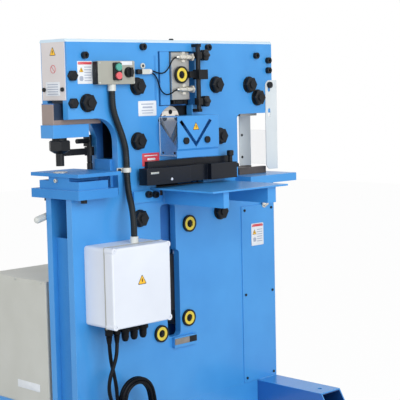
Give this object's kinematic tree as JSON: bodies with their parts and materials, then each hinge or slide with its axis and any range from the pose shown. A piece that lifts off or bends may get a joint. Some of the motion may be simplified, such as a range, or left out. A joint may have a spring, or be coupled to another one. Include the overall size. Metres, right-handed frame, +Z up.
{
  "type": "hydraulic ironworker",
  "caption": "Free-standing hydraulic ironworker: thick blue side plates with a sliding yoke for punching, angle and flat shearing, control boxes, guards and a power unit",
  "frame": {"origin": "on the floor, in the middle of the four anchor holes", "axes": "+X along the front to the tool end, +Y to the back, +Z up"},
  "size_m": [1.0862, 0.972, 1.425],
  "materials": {
    "blue_paint": "semi-gloss machine blue",
    "grey_paint": "pale grey semi-gloss",
    "black_steel": "black oxide",
    "bare_steel": "machined, lightly oiled",
    "cast_iron": "as cast",
    "chrome": "hard chrome",
    "yellow_plastic": "matte",
    "clear_plastic": "clear polycarbonate",
    "grey_plastic": "matte",
    "white_plastic": "satin",
    "black_plastic": "satin",
    "green_plastic": "gloss",
    "red_plastic": "gloss",
    "cable_rubber": "matte"
  },
  "bodies": {
    "frame": {"front_side_plate": "blue_paint", "rear_side_plate": "blue_paint", "frame_webs": "blue_paint", "foot_beams": "blue_paint", "front_panels": "blue_paint", "shear_table": "blue_paint", "table_arms": "blue_paint", "angle_guard": "blue_paint", "tool_table": "blue_paint", "die_base": "blue_paint", "die_table": "blue_paint", "power_unit_base": "blue_paint", "punch_end_cover": "grey_paint", "power_unit_cabinet": "grey_paint", "top_cover": "grey_paint", "tie_bolts": "black_steel", "small_screws": "black_steel", "hold_down": "black_steel", "grease_bezels": "black_steel", "stripper_post": "black_steel", "guide_gibs": "bare_steel", "fixed_blades": "bare_steel", "punch_die": "bare_steel", "tool_die": "bare_steel", "stroke_rod": "bare_steel", "cylinder_barrel": "cast_iron", "power_pack": "cast_iron", "grease_rings": "yellow_plastic", "angle_guard_window": "clear_plastic", "button_box": "grey_plastic", "conduit_fittings": "grey_plastic", "electric_box": "white_plastic", "button_bezels": "black_plastic", "cable_glands": "black_plastic", "conduit": "black_plastic", "pedal_cable": "cable_rubber", "mains_cable": "cable_rubber", "cable_coil": "cable_rubber"},
    "yoke": {"yoke": "bare_steel", "yoke_blocks": "bare_steel", "ram_pin_cap": "black_steel", "ram_pin_ring": "yellow_plastic", "stroke_sensors": "bare_steel", "follower": "black_steel", "piston_rod": "chrome", "moving_blades": "bare_steel", "punch_holder": "blue_paint", "punch_set": "black_steel", "upper_sensor_cable": "cable_rubber", "lower_sensor_cable": "cable_rubber"},
    "upper_dog": {"upper_dog": "black_plastic"},
    "lower_dog": {"lower_dog": "black_plastic"},
    "hold_screw": {"hold_screw": "bare_steel"},
    "stripper_arm": {"stripper_arm": "black_steel"},
    "start_button": {"start_button": "green_plastic"},
    "stop_button": {"stop_button": "red_plastic"},
    "selector_knob": {"selector_knob": "black_plastic"},
    "tool_guard": {"tool_guard": "grey_paint", "tool_guard_window": "clear_plastic"},
    "rear_lever": {"rear_lever": "bare_steel"}
  },
  "joints": [
    {"name": "yoke_slide", "type": "slide", "parent": "frame", "child": "yoke", "axis": [0, 0, -1], "range_m": [0, 0.043], "deforming": ["upper_sensor_cable", "lower_sensor_cable"]},
    {"name": "upper_dog_slide", "type": "slide", "parent": "frame", "child": "upper_dog", "axis": [0, 0, 1], "range_m": [-0.03, 0.015]},
    {"name": "lower_dog_slide", "type": "slide", "parent": "frame", "child": "lower_dog", "axis": [0, 0, 1], "range_m": [-0.012, 0.015]},
    {"name": "hold_screw_turn", "type": "hinge", "parent": "frame", "child": "hold_screw", "pos_m": [0.22244, -0.1815, 0.98037], "axis": [0, 0, 1], "continuous": true},
    {"name": "stripper_swing", "type": "hinge", "parent": "frame", "child": "stripper_arm", "pos_m": [-0.314, -0.015, 1.03181], "axis": [0, 0, -1], "range_deg": [0, 60]},
    {"name": "start_press", "type": "slide", "parent": "frame", "child": "start_button", "axis": [0, 1, 0], "range_m": [0, 0.004], "stiffness_N_per_m": 700, "springref_m": -0.002},
    {"name": "stop_press", "type": "slide", "parent": "frame", "child": "stop_button", "axis": [0, 1, 0], "range_m": [0, 0.004], "stiffness_N_per_m": 700, "springref_m": -0.002},
    {"name": "selector_turn", "type": "hinge", "parent": "frame", "child": "selector_knob", "pos_m": [-0.25952, -0.1835, 1.30283], "axis": [0, 1, 0], "range_deg": [-45, 45]},
    {"name": "tool_guard_lift", "type": "slide", "parent": "frame", "child": "tool_guard", "axis": [0, 0, 1], "range_m": [0, 0.02]},
    {"name": "lever_swing", "type": "hinge", "parent": "frame", "child": "rear_lever", "pos_m": [-0.4008, 0.0128, 0.83985], "axis": [0, 1, 0], "range_deg": [-25, 20]}
  ]
}
